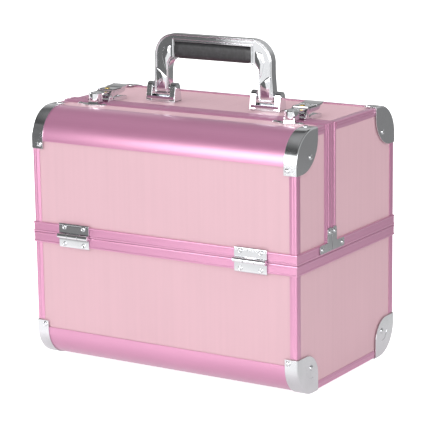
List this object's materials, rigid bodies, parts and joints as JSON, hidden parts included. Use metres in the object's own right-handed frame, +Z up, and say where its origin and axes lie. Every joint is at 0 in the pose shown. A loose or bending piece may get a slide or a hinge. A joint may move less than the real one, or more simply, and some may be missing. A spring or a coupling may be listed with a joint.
{
  "type": "makeup train case",
  "caption": "Upright hard makeup case with an aluminium frame, split lids that open front and rear, stepped trays, latches and a top handle.",
  "frame": {"origin": "middle of the case in plan, at the surface it stands on", "axes": "+Z up, +X to the right and -Y to the front as seen by a person facing the shallow lid"},
  "size_m": [0.3266, 0.2214, 0.346],
  "materials": {
    "panel": "satin ribbed laminate",
    "anodised_frame": "satin anodised",
    "chrome": "polished",
    "lining": "short pile",
    "tray": "flocked board",
    "linkage_steel": "plated",
    "foot_rubber": "matte",
    "grip_leather": "grained",
    "lock_brass": "polished"
  },
  "bodies": {
    "base": {"base_front_panel": "panel", "base_rear_panel": "panel", "base_side_panels": "panel", "base_bottom_panel": "panel", "base_edge_profiles": "anodised_frame", "base_edge_trims": "anodised_frame", "base_rim": "anodised_frame", "base_corner_caps": "chrome", "base_feet": "foot_rubber", "base_lining": "lining", "base_hinge_leaves": "chrome", "hinge_pins": "chrome", "tray_pivot_plates": "linkage_steel", "base_rivets": "chrome"},
    "front_lid": {"front_lid_front_panel": "panel", "front_lid_top_panel": "panel", "front_lid_side_panels": "panel", "front_lid_edge_profile": "anodised_frame", "front_lid_edge_trims": "anodised_frame", "front_lid_rim": "anodised_frame", "front_lid_split_rim": "anodised_frame", "front_lid_corner_caps": "chrome", "front_lid_split_brackets": "chrome", "front_lid_lining": "lining", "latch_strikes": "chrome", "front_lid_hinge_leaves": "chrome", "front_lid_rivets": "chrome", "front_lid_drive_studs": "linkage_steel"},
    "rear_lid": {"rear_lid_rear_panel": "panel", "rear_lid_top_panel": "panel", "rear_lid_side_panels": "panel", "rear_lid_edge_profile": "anodised_frame", "rear_lid_edge_trims": "anodised_frame", "rear_lid_rim": "anodised_frame", "rear_lid_split_rim": "anodised_frame", "rear_lid_corner_caps": "chrome", "rear_lid_split_brackets": "chrome", "rear_lid_lining": "lining", "latch_bases": "chrome", "rear_lid_hinge_leaves": "chrome", "rear_lid_rivets": "chrome", "rear_lid_drive_studs": "linkage_steel", "handle_brackets": "chrome", "handle_pins": "chrome"},
    "handle": {"handle_bail": "chrome", "handle_grip": "grip_leather"},
    "left_latch_lever": {"left_latch_lever": "chrome", "left_lock_barrel": "lock_brass"},
    "left_latch_hook": {"left_latch_hook": "chrome"},
    "right_latch_lever": {"right_latch_lever": "chrome", "right_lock_barrel": "lock_brass"},
    "right_latch_hook": {"right_latch_hook": "chrome"},
    "front_arms_a": {"front_arms_a": "linkage_steel"},
    "front_arms_b": {"front_arms_b": "linkage_steel"},
    "front_lower_tray": {"front_lower_tray": "tray"},
    "front_upper_tray": {"front_upper_tray": "tray"},
    "rear_arms_a": {"rear_arms_a": "linkage_steel"},
    "rear_arms_b": {"rear_arms_b": "linkage_steel"},
    "rear_lower_tray": {"rear_lower_tray": "tray"},
    "rear_upper_tray": {"rear_upper_tray": "tray"}
  },
  "joints": [
    {"name": "front_lid_hinge", "type": "hinge", "parent": "base", "child": "front_lid", "pos_m": [0, -0.108, 0.141], "axis": [1, 0, 0], "range_deg": [0, 100]},
    {"name": "rear_lid_hinge", "type": "hinge", "parent": "base", "child": "rear_lid", "pos_m": [0, 0.108, 0.141], "axis": [-1, 0, 0], "range_deg": [0, 100]},
    {"name": "handle_hinge", "type": "hinge", "parent": "rear_lid", "child": "handle", "pos_m": [0, 0.0045, 0.287], "axis": [1, 0, 0], "range_deg": [-85, 85]},
    {"name": "left_latch_lever_hinge", "type": "hinge", "parent": "rear_lid", "child": "left_latch_lever", "pos_m": [-0.12, -0.0303, 0.2777], "axis": [1, 0, 0], "range_deg": [0, 75]},
    {"name": "left_latch_hook_hinge", "type": "hinge", "parent": "left_latch_lever", "child": "left_latch_hook", "pos_m": [-0.12, -0.0263, 0.282], "axis": [-1, 0, 0], "range_deg": [0, 85]},
    {"name": "right_latch_lever_hinge", "type": "hinge", "parent": "rear_lid", "child": "right_latch_lever", "pos_m": [0.12, -0.0303, 0.2777], "axis": [1, 0, 0], "range_deg": [0, 75]},
    {"name": "right_latch_hook_hinge", "type": "hinge", "parent": "right_latch_lever", "child": "right_latch_hook", "pos_m": [0.12, -0.0263, 0.282], "axis": [-1, 0, 0], "range_deg": [0, 85]},
    {"name": "front_arms_a_hinge", "type": "hinge", "parent": "base", "child": "front_arms_a", "pos_m": [0, -0.068, 0.133], "axis": [1, 0, 0], "range_deg": [0, 50]},
    {"name": "front_arms_b_hinge", "type": "hinge", "parent": "base", "child": "front_arms_b", "pos_m": [0, -0.05, 0.1355], "axis": [1, 0, 0], "range_deg": [0, 50]},
    {"name": "front_lower_tray_hinge", "type": "hinge", "parent": "front_arms_a", "child": "front_lower_tray", "pos_m": [0, -0.0535, 0.181], "axis": [-1, 0, 0], "range_deg": [0, 50]},
    {"name": "front_upper_tray_hinge", "type": "hinge", "parent": "front_arms_a", "child": "front_upper_tray", "pos_m": [0, -0.039, 0.229], "axis": [-1, 0, 0], "range_deg": [0, 50]},
    {"name": "rear_arms_a_hinge", "type": "hinge", "parent": "base", "child": "rear_arms_a", "pos_m": [0, 0.068, 0.133], "axis": [-1, 0, 0], "range_deg": [0, 50]},
    {"name": "rear_arms_b_hinge", "type": "hinge", "parent": "base", "child": "rear_arms_b", "pos_m": [0, 0.05, 0.1355], "axis": [-1, 0, 0], "range_deg": [0, 50]},
    {"name": "rear_lower_tray_hinge", "type": "hinge", "parent": "rear_arms_a", "child": "rear_lower_tray", "pos_m": [0, 0.0535, 0.181], "axis": [1, 0, 0], "range_deg": [0, 50]},
    {"name": "rear_upper_tray_hinge", "type": "hinge", "parent": "rear_arms_a", "child": "rear_upper_tray", "pos_m": [0, 0.039, 0.229], "axis": [1, 0, 0], "range_deg": [0, 50]}
  ],
  "couplings": [
    {"joint": "left_latch_hook_hinge", "follows": "left_latch_lever_hinge", "ratio": 1.1},
    {"joint": "right_latch_hook_hinge", "follows": "right_latch_lever_hinge", "ratio": 1.1},
    {"joint": "front_arms_a_hinge", "follows": "front_lid_hinge", "ratio": 0.5},
    {"joint": "front_arms_b_hinge", "follows": "front_lid_hinge", "ratio": 0.5},
    {"joint": "front_lower_tray_hinge", "follows": "front_lid_hinge", "ratio": 0.5},
    {"joint": "front_upper_tray_hinge", "follows": "front_lid_hinge", "ratio": 0.5},
    {"joint": "rear_arms_a_hinge", "follows": "rear_lid_hinge", "ratio": 0.5},
    {"joint": "rear_arms_b_hinge", "follows": "rear_lid_hinge", "ratio": 0.5},
    {"joint": "rear_lower_tray_hinge", "follows": "rear_lid_hinge", "ratio": 0.5},
    {"joint": "rear_upper_tray_hinge", "follows": "rear_lid_hinge", "ratio": 0.5}
  ]
}
